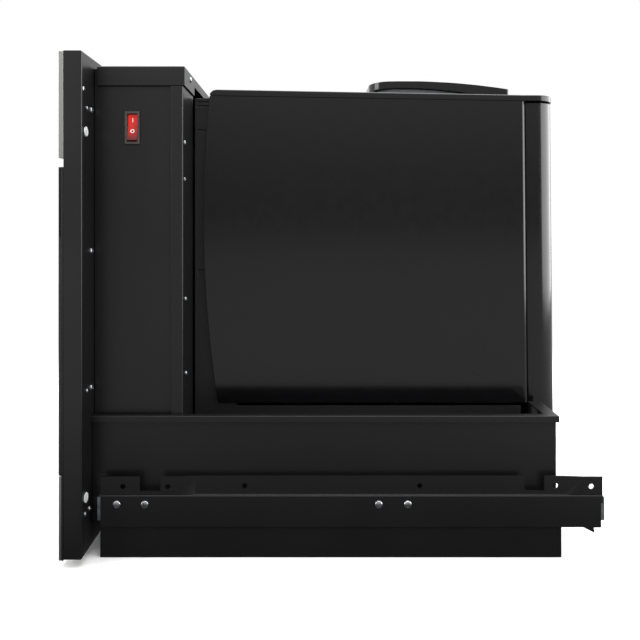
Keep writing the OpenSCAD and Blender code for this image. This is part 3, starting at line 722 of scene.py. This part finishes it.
@dataclass
class Assembly:
    """Pieces that are made and fitted together.

    Attributes:
        title: what the log calls the group.
        body: the moving body that its pieces ride on, unless a method names another.
    """

    title: str
    body: str

    def finish_of(
        self, piece: Object, finish: Finish, body: Optional[str] = None
    ) -> Object:
        """Gives a piece its finish and its body.

        Args:
            piece: the piece.
            finish: its finish.
            body: the body that it rides on, if not the group's own.

        Returns:
            The same piece.
        """
        piece.data.materials.clear()
        piece.data.materials.append(finish.material())
        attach(piece, body or self.body)
        LOG.info("%s: %s in %s", self.title, piece.name, finish.name)
        return piece

    def rounded(
        self,
        node: str,
        finish: Finish,
        radius_mm: float,
        body: Optional[str] = None,
        steps: int = 3,
        softer: Iterable[Softer] = (),
    ) -> Object:
        """Replaces a node by the same shape with rounded edges.

        Args:
            node: the node to replace.
            finish: the piece's finish.
            radius_mm: how far each edge is rounded.
            body: the body that it rides on, if not the group's own.
            steps: flat steps across each rounded edge.
            softer: edges that are rounded more.

        Returns:
            The new piece.
        """
        piece = copy_of(node, node + "_piece")
        for group in softer:
            group.apply(piece)
        round_edges(piece, radius_mm, steps)
        self.finish_of(piece, finish, body)
        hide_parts(node)
        return piece

    def screw_heads(
        self, node: str, name: str, facing_of: Callable[[Vector], Facing], head_share: float
    ) -> None:
        """Replaces a node of screws by domed heads with a cross recess.

        Args:
            node: the node of screws.
            name: the new piece's name.
            facing_of: gives the way a screw faces from the middle of its solid.
            head_share: height of a head, as a share of its radius.
        """
        seats = []
        for low, high in solids_of(node):
            middle, half = (low + high) / 2, (high - low) / 2
            facing = facing_of(middle)
            height = half.z * head_share
            seat = middle + facing.value * (abs(facing.value.dot(half)) - height)
            seats.append((seat, facing, half.z, height))
        piece = screws(name, seats)
        self.finish_of(piece, SCREW_ZINC)
        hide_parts(node)

    def build(self) -> None:
        """Makes the group's pieces."""
        raise NotImplementedError


@dataclass
class Studio:
    """Pale floor, soft lights and the camera.

    Attributes:
        eye: where the camera stands, in metres; it looks level along -X.
        lens_mm: its focal length on a 36 mm wide sensor.
        shift: how far the picture is shifted, as a share of its width.
        paper_half_m: half the width of the paper on the floor.
        fibre_mm: size of the paper's fibres.
        shadow_m: where the paper begins to fade into the surround, and where it has faded.
        glow_m: between these distances the paper brightens in reflections.
        near_glow: how bright the paper beside the machine looks in reflections.
        far_glow: how bright the faded paper looks in reflections.
        dark_side: how bright the surround behind the camera looks in reflections.
        open_side: how bright the rest of the surround looks in reflections.
        overhead: how bright the surround looks from a height up, in reflections.
    """

    eye: Vector
    lens_mm: float
    shift: tuple[float, float]
    paper_half_m: float = 12.0
    fibre_mm: float = 3.0
    shadow_m: tuple[float, float] = (0.45, 0.95)
    glow_m: tuple[float, float] = (0.42, 0.8)
    near_glow: float = 0.08
    far_glow: float = 0.55
    dark_side: float = 0.2
    open_side: float = 0.95
    overhead: float = 1.25

    def camera(self) -> None:
        """Sets up a level camera that looks along -X."""
        lens = bpy.data.cameras.new("side_camera")
        lens.lens = self.lens_mm
        lens.sensor_width = 36.0
        lens.shift_x, lens.shift_y = self.shift
        lens.clip_start = 0.01
        lens.clip_end = 50.0
        stand = bpy.data.objects.new("side_camera", lens)
        stand.location = self.eye
        stand.rotation_euler = (math.radians(90), 0.0, math.radians(90))
        bpy.context.scene.collection.objects.link(stand)
        bpy.context.scene.camera = stand

    def floor(self) -> None:
        """Lays a wide sheet of white paper under the machine.

        The paper near the machine takes its shadow, and further out it fades into the white surround. In
        reflections it is dim, as if black card shaded it.
        """
        shape = bmesh.new()
        bmesh.ops.create_grid(shape, x_segments=8, y_segments=8, size=self.paper_half_m)
        sheet = object_from("studio_floor", shape)
        sheet.location.z = -0.1 * MM
        paper = bpy.data.materials.new("white_studio_paper")
        tree = empty_tree(paper)
        place = add_node(tree, "ShaderNodeTexCoord").outputs["Object"]
        away = add_node(tree, "ShaderNodeVectorMath", {"operation": "LENGTH"}, {0: place})
        fade = add_node(
            tree,
            "ShaderNodeMapRange",
            {"interpolation_type": "SMOOTHSTEP", "From Min": self.shadow_m[0], "From Max": self.shadow_m[1]},
            {"Value": away.outputs["Value"]},
        )
        fibre = add_node(
            tree, "ShaderNodeTexNoise", {"Scale": per_metre(self.fibre_mm), "Detail": 4.0}, {"Vector": place}
        )
        tone = add_node(tree, "ShaderNodeValToRGB", links={"Fac": fibre.outputs["Fac"]})
        for element, shade in zip(tone.color_ramp.elements, ("#f9f9f8", "#ffffff")):
            element.color = linear(shade)
        close_by = add_node(tree, "ShaderNodeBsdfDiffuse", links={"Color": tone.outputs["Color"]})
        white = add_node(tree, "ShaderNodeEmission", {"Color": linear("#ffffff"), "Strength": 1.0})
        glow = add_node(
            tree,
            "ShaderNodeMapRange",
            {
                "From Min": self.glow_m[0],
                "From Max": self.glow_m[1],
                "To Min": self.near_glow,
                "To Max": self.far_glow,
            },
            {"Value": away.outputs["Value"]},
        )
        dim = add_node(
            tree, "ShaderNodeEmission", {"Color": linear("#ffffff")}, {"Strength": glow.outputs["Result"]}
        )
        faded = add_node(
            tree,
            "ShaderNodeMixShader",
            links={0: fade.outputs["Result"], 1: close_by.outputs["BSDF"], 2: white.outputs["Emission"]},
        )
        mixed = seen_or_lit(tree, dim.outputs["Emission"], faded.outputs["Shader"])
        add_node(tree, "ShaderNodeOutputMaterial", links={"Surface": mixed})
        sheet.data.materials.append(paper)

    def softbox(self, name: str, place: Vector, size: tuple[float, float], watts: float) -> None:
        """Hangs one soft light that faces the middle of the machine.

        Args:
            name: the light's name.
            place: where it hangs, in metres.
            size: its width and height, in metres.
            watts: its power.
        """
        lamp = bpy.data.lights.new(name, "AREA")
        lamp.shape = "RECTANGLE"
        lamp.size, lamp.size_y = size
        lamp.energy = watts
        stand = bpy.data.objects.new(name, lamp)
        stand.location = place
        aim = Vector((0.0, 0.0, 0.22)) - place
        stand.rotation_euler = aim.to_track_quat("-Z", "Y").to_euler()
        bpy.context.scene.collection.objects.link(stand)

    def sky(self) -> None:
        """Surrounds the set with white, which reflections see as darker behind the camera."""
        world = bpy.data.worlds.new("white_surround")
        bpy.context.scene.world = world
        tree = empty_tree(world)
        around = add_node(tree, "ShaderNodeTexCoord").outputs["Generated"]
        way = add_node(tree, "ShaderNodeSeparateXYZ", links={0: around})
        side = add_node(
            tree,
            "ShaderNodeMapRange",
            {
                "interpolation_type": "SMOOTHSTEP",
                "From Min": 0.35,
                "From Max": 0.9,
                "To Min": self.open_side,
                "To Max": self.dark_side,
            },
            {"Value": way.outputs["X"]},
        )
        height = add_node(
            tree,
            "ShaderNodeMapRange",
            {"From Min": 0.0, "From Max": 0.6, "To Min": self.dark_side, "To Max": self.overhead},
            {"Value": way.outputs["Z"]},
        )
        both = {0: side.outputs["Result"], 1: height.outputs["Result"]}
        bright = add_node(tree, "ShaderNodeMath", {"operation": "MAXIMUM"}, both)
        seen = add_node(tree, "ShaderNodeBackground", {"Color": linear("#ffffff"), "Strength": 1.0})
        lit = add_node(
            tree, "ShaderNodeBackground", {"Color": linear("#ffffff")}, {"Strength": bright.outputs["Value"]}
        )
        mixed = seen_or_lit(tree, lit.outputs["Background"], seen.outputs["Background"])
        add_node(tree, "ShaderNodeOutputWorld", links={"Surface": mixed})

    def build(self) -> None:
        """Sets up the whole studio."""
        self.camera()
        self.floor()
        self.sky()
        self.softbox("top_softbox", Vector((-0.2, 0.1, 2.2)), (2.4, 2.4), 70.0)
        self.softbox("front_softbox", Vector((0.9, -2.2, 0.9)), (1.2, 1.8), 34.0)
        self.softbox("back_softbox", Vector((0.1, 2.0, 0.5)), (3.0, 1.8), 70.0)
        bpy.context.scene.view_settings.view_transform = "Standard"
        LOG.info("studio: camera, floor and lights")


def ring_outline(radius: float, steps: int = 40) -> Outline:
    """Gives the corners of a circle about the origin."""
    turns = [2 * math.pi * i / steps for i in range(steps)]
    return [(radius * math.cos(t), radius * math.sin(t)) for t in turns]


def pan_head(radius: float, height: float) -> BMesh:
    """Turns a domed screw head with a cross recess, standing on the XY plane.

    Args:
        radius: the head's radius, in metres.
        height: the head's height, in metres.

    Returns:
        The head as a closed mesh.
    """
    steps = 32
    rings = [(radius, 0.0)] + [
        (radius * math.cos(a), height * (0.25 + 0.75 * math.sin(a)))
        for a in (math.radians(15 * i) for i in range(6))
    ]
    head = bmesh.new()
    rows = [[head.verts.new((x, y, z)) for x, y in ring_outline(r, steps)] for r, z in rings]
    for low, high in zip(rows, rows[1:]):
        for i in range(steps):
            j = (i + 1) % steps
            head.faces.new((low[i], low[j], high[j], high[i]))
    head.faces.new(list(reversed(rows[0])))
    head.faces.new(rows[-1])
    return head


def cut_cross(head: Object, radius: float, height: float) -> None:
    """Cuts a cross recess into a screw head.

    Args:
        head: the head, standing on the XY plane.
        radius: the head's radius, in metres.
        height: the head's height, in metres.
    """
    arm, half = radius * CROSS_ARM, radius * CROSS_HALF
    low, high = height * CROSS_FLOOR, height * 1.3
    cutter = bmesh.new()
    for turn in (0.0, math.pi / 2):
        spin = Matrix.Rotation(turn, 4, "Z")
        layers = [
            [cutter.verts.new(spin @ Vector((sx * x, sy * y, z))) for sx, sy in QUARTERS]
            for x, y, z in ((arm * CROSS_TAPER, half * CROSS_TAPER, low), (arm, half, high))
        ]
        cutter.faces.new(layers[0])
        cutter.faces.new(list(reversed(layers[1])))
        for i in range(4):
            j = (i + 1) % 4
            cutter.faces.new((layers[0][j], layers[0][i], layers[1][i], layers[1][j]))
    tool = object_from("cross_cutter", cutter)
    cut = head.modifiers.new("cross", "BOOLEAN")
    cut.operation = "DIFFERENCE"
    cut.solver = "EXACT"
    cut.use_self = True
    cut.object = tool
    settle(head)
    bpy.data.objects.remove(tool)


def screws(name: str, seats: Iterable[tuple[Vector, Facing, float, float]]) -> Object:
    """Makes a group of domed cross-head screws as one piece.

    Args:
        name: the piece's name.
        seats: for each screw the middle of its head's underside, the way it faces, and the head's
            radius and height, in metres.

    Returns:
        The piece.
    """
    group = bmesh.new()
    for number, (seat, facing, radius, height) in enumerate(seats):
        head = object_from(f"{name}_{number}", pan_head(radius, height))
        cut_cross(head, radius, height)
        spin = Matrix.Rotation(math.radians(37.0 * number + 12.0), 4, "Z")
        head.data.transform(Matrix.Translation(seat) @ facing.turn() @ spin)
        group.from_mesh(head.data)
        bpy.data.objects.remove(head)
    piece = object_from(name, group)
    piece.data.shade_smooth()
    piece.data.set_sharp_from_angle(angle=math.radians(38))
    return piece


@dataclass
class CabinetSides(Assembly):
    """Brackets, slides and screws that fasten the machine to the cabinet."""

    sheet_edge_mm: float = 0.35
    slide_edge_mm: float = 0.3
    head_share: float = 1.8 / 3.65

    def build(self) -> None:
        """Makes both brackets, all six slide members and the screws."""
        for side in ("right", "left"):
            channel = Softer(
                1.1,
                lambda a, b: runs_along(1, a, b) and abs(b.y - a.y) > 0.1 and min(a.z, b.z) < 0.06,
            )
            self.rounded(f"bracket_{side}", POWDER_COAT, self.sheet_edge_mm, softer=[channel])
            self.rounded(f"slide_outer_{side}", SLIDE_ZINC, self.slide_edge_mm)
            self.rounded(f"slide_middle_{side}", SLIDE_ZINC, self.slide_edge_mm, "slide_middle")
            self.rounded(f"slide_inner_{side}", SLIDE_ZINC, self.slide_edge_mm, "carriage")
        self.screw_heads(
            "bracket_screws",
            "bracket_screw_heads",
            lambda middle: Facing.RIGHT if middle.x > 0 else Facing.LEFT,
            self.head_share,
        )


@dataclass
class Chassis(Assembly):
    """Pan, tray, front frame and column: the sheet-metal box that carries the machine."""

    sheet_edge_mm: float = 0.45
    rim_edge_mm: float = 0.6
    head_share: float = 0.55

    def build(self) -> None:
        """Makes the sheet-metal pieces, the bumpers and their screws."""
        self.rounded("base_pan", POWDER_COAT, self.sheet_edge_mm)
        _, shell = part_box("column_shell")
        back = Softer(
            1.7,
            lambda a, b: runs_along(2, a, b)
            and near(a.y, shell.y)
            and near(abs(a.x), shell.x)
            and b.z - a.z > 0.1,
        )
        self.rounded("column_shell", POWDER_COAT, self.sheet_edge_mm, softer=[back])
        _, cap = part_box("column_cap")
        lid = Softer(1.4, lambda a, b: near(a.z, cap.z) and near(b.z, cap.z) and (b - a).length > 0.02)
        self.rounded("column_cap", POWDER_COAT, self.sheet_edge_mm, softer=[lid])
        _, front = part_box("front_frame")
        rear = Softer(1.5, lambda a, b: near(a.y, front.y) and near(b.y, front.y) and (b - a).length > 0.1)
        self.rounded("front_frame", POWDER_COAT, self.sheet_edge_mm, softer=[rear])
        _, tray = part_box("tray")
        rim = Softer(1.1, lambda a, b: near(a.z, tray.z) and near(b.z, tray.z) and (b - a).length > 0.02)
        self.rounded("tray", POWDER_COAT, self.rim_edge_mm, softer=[rim])
        self.rounded("front_bumpers", BUMPER_SILICONE, 1.0, steps=4)
        for node in ("frame_screws", "column_screws"):
            self.screw_heads(node, node + "_heads", lambda middle: Facing.BACK, self.head_share)


def bar_outline(middle: tuple[float, float], width: float, height: float) -> Outline:
    """Gives the corners of an upright bar about its middle."""
    (x, y), w, h = middle, width / 2, height / 2
    return [(x - w, y - h), (x + w, y - h), (x + w, y + h), (x - w, y + h)]


def print_marks(
    name: str, outlines: Iterable[Outline], rings: Iterable[tuple[Outline, Outline]], proud: float
) -> Object:
    """Makes flat marks in the XY plane, with their ink standing proud along +Z.

    Args:
        name: the piece's name.
        outlines: corners of each filled mark, in metres.
        rings: outer and inner corners of each open mark, in metres; both have as many corners.
        proud: thickness of the ink, in metres.

    Returns:
        The marks as one piece.
    """
    ink = bmesh.new()
    for corners in outlines:
        foot = [ink.verts.new((x, y, 0.0)) for x, y in corners]
        head = [ink.verts.new((x, y, proud)) for x, y in corners]
        ink.faces.new(list(reversed(foot)))
        ink.faces.new(head)
        for i in range(len(corners)):
            j = (i + 1) % len(corners)
            ink.faces.new((foot[i], foot[j], head[j], head[i]))
    for outer, inner in rings:
        loops = [[ink.verts.new((x, y, z)) for x, y in row] for row in (outer, inner) for z in (0.0, proud)]
        out_foot, out_head, in_foot, in_head = loops
        for i in range(len(outer)):
            j = (i + 1) % len(outer)
            ink.faces.new((out_foot[i], out_foot[j], out_head[j], out_head[i]))
            ink.faces.new((in_foot[j], in_foot[i], in_head[i], in_head[j]))
            ink.faces.new((out_head[i], out_head[j], in_head[j], in_head[i]))
            ink.faces.new((out_foot[j], out_foot[i], in_foot[i], in_foot[j]))
    return object_from(name, ink)


@dataclass
class MainSwitch(Assembly):
    """Rocker switch on the side of the column."""

    mark_mm: float = 4.0
    line_mm: float = 0.7
    mark_proud_mm: float = 0.1

    def mark(self, rocker: Object, share: float, is_ring: bool) -> None:
        """Prints one mark on the rocker's face.

        Args:
            rocker: the finished rocker.
            share: where the mark sits between the rocker's foot and its head.
            is_ring: True for the open ring of "off", False for the bar of "on".
        """
        low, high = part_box("power_rocker")
        start = Vector((high.x + 0.01, (low.y + high.y) / 2, low.z + share * (high.z - low.z)))
        hit, spot, normal, _ = rocker.ray_cast(start, Vector((-1, 0, 0)))
        if not hit:
            LOG.warning("%s: no face for a mark at %.2f", self.title, share)
            return
        size, line = self.mark_mm * MM, self.line_mm * MM
        name = "switch_mark_off" if is_ring else "switch_mark_on"
        if is_ring:
            rings = [(ring_outline(size / 2), ring_outline(size / 2 - line))]
            mark = print_marks(name, [], rings, self.mark_proud_mm * MM)
        else:
            mark = print_marks(name, [bar_outline((0.0, 0.0), line, size)], [], self.mark_proud_mm * MM)
        turn = Matrix((Vector((0, 0, 1)).cross(normal), Vector((0, 0, 1)), normal)).transposed()
        turn.col[1] = normal.cross(turn.col[0])
        mark.data.transform(Matrix.Translation(spot - normal * 0.02 * MM) @ turn.to_4x4())
        self.finish_of(mark, MARK_INK_AND_PAINTED_GLOW, "power_rocker")

    def build(self) -> None:
        """Makes the housing, the rocker and its two marks."""
        self.rounded("switch_bezel", SWITCH_NYLON, 0.5)
        rocker = self.rounded("power_rocker", ROCKER_RED, 0.6, "power_rocker", steps=4)
        self.mark(rocker, 0.79, is_ring=False)
        self.mark(rocker, 0.38, is_ring=True)


@dataclass
class ControlPanel(Assembly):
    """Stainless fascia with its display and push buttons."""

    icon_mm: float = 7.0
    line_mm: float = 0.7
    ink_mm: float = 0.06

    def cup(self, middle: tuple[float, float], size: float) -> list[Outline]:
        """Gives the outlines of a cup with steam over it.

        Args:
            middle: the icon's middle, in metres.
            size: its width, in metres.

        Returns:
            The corners of each filled shape.
        """
        x, y = middle
        bowl = [(-0.38, 0.08), (-0.26, -0.38), (0.18, -0.38), (0.30, 0.08)]
        ear = [(0.32, 0.02), (0.46, 0.02), (0.46, -0.22), (0.25, -0.22)]
        ear += [(0.28, -0.13), (0.38, -0.13), (0.38, -0.07)]
        dish = bar_outline((-0.04, -0.48), 0.72, 0.07)
        steam = [bar_outline((sx, 0.3), 0.07, 0.24) for sx in (-0.2, -0.03, 0.14)]
        return [[(x + size * u, y + size * v) for u, v in part] for part in (bowl, ear, dish, *steam)]

    def place(self, marks: Object, spot: Vector, body: str) -> None:
        """Stands a flat group of marks on the front, facing the user.

        Args:
            marks: the marks, in the XY plane.
            spot: the middle of their back, in metres.
            body: the body that they ride on.
        """
        marks.data.transform(Matrix.Translation(spot) @ Matrix.Rotation(math.radians(90), 4, "X"))
        self.finish_of(marks, ICON_LIGHT if body == self.body else BUTTON_INK, body)

    def button_marks(self, button: str, number: int) -> None:
        """Prints a button's icon: a ring and stroke for power, small or large cups for the drinks.

        Args:
            button: the button's node.
            number: 0 for power, then 1 to 4.
        """
        low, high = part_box(button)
        size, line = self.icon_mm * MM, self.line_mm * MM
        if number == 0:
            shapes = [bar_outline((0, size * 0.12), line, size * 0.42)]
            rings = [(ring_outline(size / 2), ring_outline(size / 2 - line))]
        else:
            shapes = self.cup((0.0, 0.0), size * (0.7 + 0.1 * number))
            rings = []
        marks = print_marks(button + "_icon", shapes, rings, self.ink_mm * MM)
        self.place(marks, Vector(((low.x + high.x) / 2, low.y + 0.01 * MM, (low.z + high.z) / 2)), button)

    def build(self) -> None:
        """Makes the fascia, the display and the buttons with their icons."""
        self.rounded("control_fascia", FASCIA_STEEL, 0.5)
        self.rounded("display_glass", FRONT_GLASS, 0.3)
        self.rounded("control_board", SOLDER_MASK, 0.0)
        low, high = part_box("display_glass")
        width = high.x - low.x
        shapes = self.cup((-0.33 * width, 0.0), 18 * MM)
        for step in range(5):
            middle = (-0.06 * width + step * 6 * MM, -4 * MM + step * 1.0 * MM)
            shapes.append(bar_outline(middle, 3 * MM, (6 + 2 * step) * MM))
        shown = print_marks("display_pictograms", shapes, [], self.ink_mm * MM)
        self.place(shown, Vector(((low.x + high.x) / 2, low.y + 0.01 * MM, (low.z + high.z) / 2)), self.body)
        for number, button in enumerate(
            ("power_button", "drink_button_1", "drink_button_2", "drink_button_3", "drink_button_4")
        ):
            self.rounded(button, BUTTON_GLOSS, 0.4, button)
            self.button_marks(button, number)


@dataclass
class ServiceDoor(Assembly):
    """Glass door with a stainless strip along its foot."""

    def build(self) -> None:
        """Makes the back plate, the glass and the strip."""
        self.rounded("door_frame", POWDER_COAT, 0.4)
        self.rounded("door_glass", FRONT_GLASS, 0.5)
        self.rounded("door_strip", FASCIA_STEEL, 0.8)


@dataclass
class CupNiche(Assembly):
    """Niche with its spout, nozzle, drip tray and grounds container."""

    def build(self) -> None:
        """Makes the niche's liner and what works in it."""
        self.rounded("niche_liner", BLACK_GRAINED, 0.8)
        self.rounded("coffee_spout", GREY_GRAINED, 1.0, "coffee_spout")
        self.rounded("water_nozzle", WET_STEEL, 0.6, "water_nozzle")
        self.rounded("drip_tray", BLACK_GRAINED, 0.8, "drip_tray")
        self.rounded("drip_grid", WET_STEEL, 0.4, "drip_tray")
        self.rounded("grounds_container", GREY_GRAINED, 0.8, "drip_tray")


@dataclass
class Casing(Assembly):
    """Plastic casing of the machine itself.

    Attributes:
        brim_m: how far in the cover's soft brim reaches.
        lip_m: height of the lip under the brim, above the floor.
    """

    brim_m: float = 0.023
    lip_m: float = 0.436

    def build(self) -> None:
        """Makes the panels, the housings and the cover."""
        self.rounded("machine_neck", BLACK_GRAINED, 0.6)
        self.rounded("machine_base", BLACK_GRAINED, 0.8)
        for side in ("right", "left"):
            panel = f"side_panel_{side}"
            skin = max(abs(corner.x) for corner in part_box(panel))
            outline = Softer(
                1.2, lambda a, b: near(abs(a.x), skin) and near(abs(b.x), skin) and (b - a).length > 0.02
            )
            self.rounded(panel, CASING_ABS, 0.5, steps=4, softer=[outline])
        self.rounded("rear_housing", CASING_ABS, 1.2, steps=4)
        low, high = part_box("top_cover")
        inner_x, inner_y = high.x - self.brim_m, high.y - self.brim_m
        brim = Softer(
            1.4,
            lambda a, b: all(abs(p.x) > inner_x or p.y > inner_y or near(p.y, low.y) for p in (a, b))
            and min(a.z, b.z) > self.lip_m
            and (b - a).length > 0.002,
        )
        self.rounded("top_cover", CASING_ABS, 0.6, softer=[brim])
        self.rounded("mains_inlet", BLACK_GRAINED, 0.4)


@dataclass
class BeanStore(Assembly):
    """Bean hopper with its collar, lid and grind knob."""

    def build(self) -> None:
        """Makes the lid and what lies under it."""
        self.rounded("bean_lid", CASING_ABS, 1.2, "bean_lid", steps=4)
        self.rounded("lid_collar", FROSTED_PC, 0.5)
        self.rounded("bean_hopper", SMOKED_PC, 0.8)
        self.rounded("grind_knob", GREY_GRAINED, 0.8, "grind_knob")


@dataclass
class Works(Assembly):
    """Grinder, brew unit, water and electric parts inside the casing."""

    def build(self) -> None:
        """Makes the parts that do the work."""
        self.rounded("grinder_body", CAST_ALUMINIUM, 0.8)
        self.rounded("grinder_rotor", BURR_STEEL, 0.3, "grinder_rotor")
        self.rounded("grinder_motor", MOTOR_LACQUER, 0.8)
        self.rounded("brew_unit", GREY_GRAINED, 0.8)
        self.rounded("brew_piston", WET_STEEL, 0.6, "brew_piston")
        self.rounded("brew_spindle", WET_STEEL, 0.5, "brew_spindle")
        self.rounded("brew_motor", MOTOR_LACQUER, 0.8)
        self.rounded("water_tank", TANK_SAN, 1.0, "water_tank")
        self.rounded("tank_lid", CASING_ABS, 0.5, "tank_lid")
        self.rounded("boiler", CAST_ALUMINIUM, 0.8)
        self.rounded("pump", COIL_VARNISH, 0.8)
        self.rounded("water_hoses", HOSE_SILICONE, 0.0)
        self.rounded("power_board", SOLDER_MASK, 0.2)


def main() -> None:
    """Builds the studio and each sub-assembly in order, and logs every piece."""
    logging.basicConfig(level=logging.INFO, format="%(message)s")
    Studio(eye=Vector((0.8575, -0.0242, 0.311)), lens_mm=35.29, shift=(0.0172, -0.1555)).build()
    groups = [
        CabinetSides("cabinet sides", "cabinet_mount"),
        Chassis("chassis", "carriage"),
        MainSwitch("main switch", "carriage"),
        ControlPanel("control panel", "carriage"),
        ServiceDoor("service door", "service_door"),
        CupNiche("cup niche", "carriage"),
        Casing("casing", "carriage"),
        BeanStore("bean store", "carriage"),
        Works("works", "carriage"),
    ]
    for group in groups:
        group.build()


if __name__ == "__main__":
    main()
